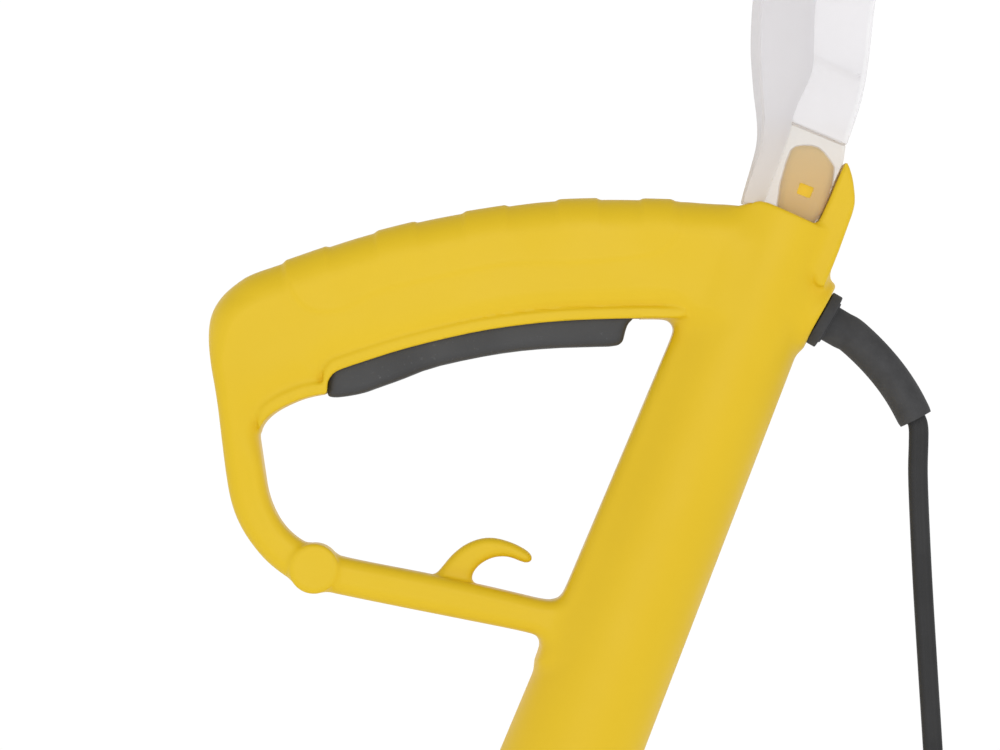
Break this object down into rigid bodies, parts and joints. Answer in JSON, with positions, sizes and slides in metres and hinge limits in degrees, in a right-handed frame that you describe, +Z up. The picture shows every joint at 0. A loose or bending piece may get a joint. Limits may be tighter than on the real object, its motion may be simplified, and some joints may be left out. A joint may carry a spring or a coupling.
{
  "type": "string trimmer",
  "caption": "Corded string trimmer with a closed loop handle, trigger, forearm rest, inclined tube, guard and a bump-feed line head.",
  "frame": {"origin": "centre of the bump knob's flat underside, on the ground under the cutting head's spin axis", "axes": "+Z up along the spin axis, +X from the cutting head towards the user, casings split on Y = 0"},
  "size_m": [0.4769, 0.2702, 0.9864],
  "materials": {
    "yellow_plastic": "moulded polypropylene, satin with a fine spark texture",
    "charcoal_plastic": "satin moulded nylon",
    "black_plastic": "satin moulded plastic",
    "black_rubber": "matte rubber",
    "natural_plastic": "translucent natural polypropylene",
    "steel": "plated steel",
    "laminations": "stacked electrical steel",
    "copper": "enamelled copper",
    "brass": "stamped brass",
    "carbon": "pressed carbon",
    "nylon_line": "extruded nylon"
  },
  "bodies": {
    "handle": {"handle_shell_left": "yellow_plastic", "handle_shell_right": "yellow_plastic", "lower_shell_left": "yellow_plastic", "lower_shell_right": "yellow_plastic", "capacitor": "charcoal_plastic", "motor_top_bracket": "charcoal_plastic", "motor_base": "charcoal_plastic", "joint_sleeve": "black_plastic", "switch_body": "black_plastic", "cord_clamp": "black_plastic", "plug_body": "black_plastic", "motor_lead": "black_plastic", "guard": "black_plastic", "cord_boot": "black_rubber", "power_cord": "black_rubber", "forearm_rest": "natural_plastic", "handle_screw_1": "steel", "handle_screw_2": "steel", "handle_screw_3": "steel", "handle_screw_4": "steel", "handle_screw_5": "steel", "housing_screw_1": "steel", "housing_screw_2": "steel", "housing_screw_3": "steel", "housing_screw_4": "steel", "lower_bearing": "steel", "upper_bearing": "steel", "trigger_spring": "steel", "brush_spring_1": "steel", "brush_spring_2": "steel", "guard_screw_1": "steel", "guard_screw_2": "steel", "line_cutter": "steel", "cutter_screw": "steel", "stator_core": "laminations", "field_coil_1": "copper", "field_coil_2": "copper", "brush_holder_1": "brass", "brush_holder_2": "brass", "plug_pin_1": "brass", "plug_pin_2": "brass", "brush_1": "carbon", "brush_2": "carbon"},
    "trigger": {"trigger": "charcoal_plastic"},
    "switch_plunger": {"switch_plunger": "charcoal_plastic"},
    "rotor": {"drive_shaft": "steel", "armature_core": "laminations", "armature_winding": "copper", "commutator": "copper", "motor_fan": "black_plastic", "spool_housing": "black_plastic", "shaft_nut": "steel", "spool_cap": "black_plastic", "line_eyelet": "steel", "cutting_line": "nylon_line", "bump_spring": "steel"},
    "bump_knob": {"bump_knob": "charcoal_plastic"},
    "line_spool": {"line_spool": "charcoal_plastic", "line_coil": "nylon_line"}
  },
  "joints": [
    {"name": "trigger_squeeze", "type": "hinge", "parent": "handle", "child": "trigger", "pos_m": [0.1383, 0, 0.811], "axis": [0, -1, 0], "range_deg": [0, 4.5], "stiffness_Nm_per_rad": 4, "springref_deg": -4.58, "deforming": ["trigger_spring"]},
    {"name": "switch_press", "type": "slide", "parent": "handle", "child": "switch_plunger", "axis": [0, 0, 1], "range_m": [0, 0.0033]},
    {"name": "motor_spin", "type": "hinge", "parent": "handle", "child": "rotor", "pos_m": [0, 0, 0.03], "axis": [0, 0, 1], "continuous": true},
    {"name": "bump_press", "type": "slide", "parent": "rotor", "child": "bump_knob", "axis": [0, 0, 1], "range_m": [0, 0.004], "stiffness_N_per_m": 2500, "springref_m": -0.004, "deforming": ["bump_spring"]},
    {"name": "spool_feed", "type": "hinge", "parent": "bump_knob", "child": "line_spool", "pos_m": [0, 0, 0.03], "axis": [0, 0, 1], "continuous": true}
  ],
  "couplings": [
    {"joint": "switch_press", "follows": "trigger_squeeze", "m_per_rad": 0.041}
  ]
}
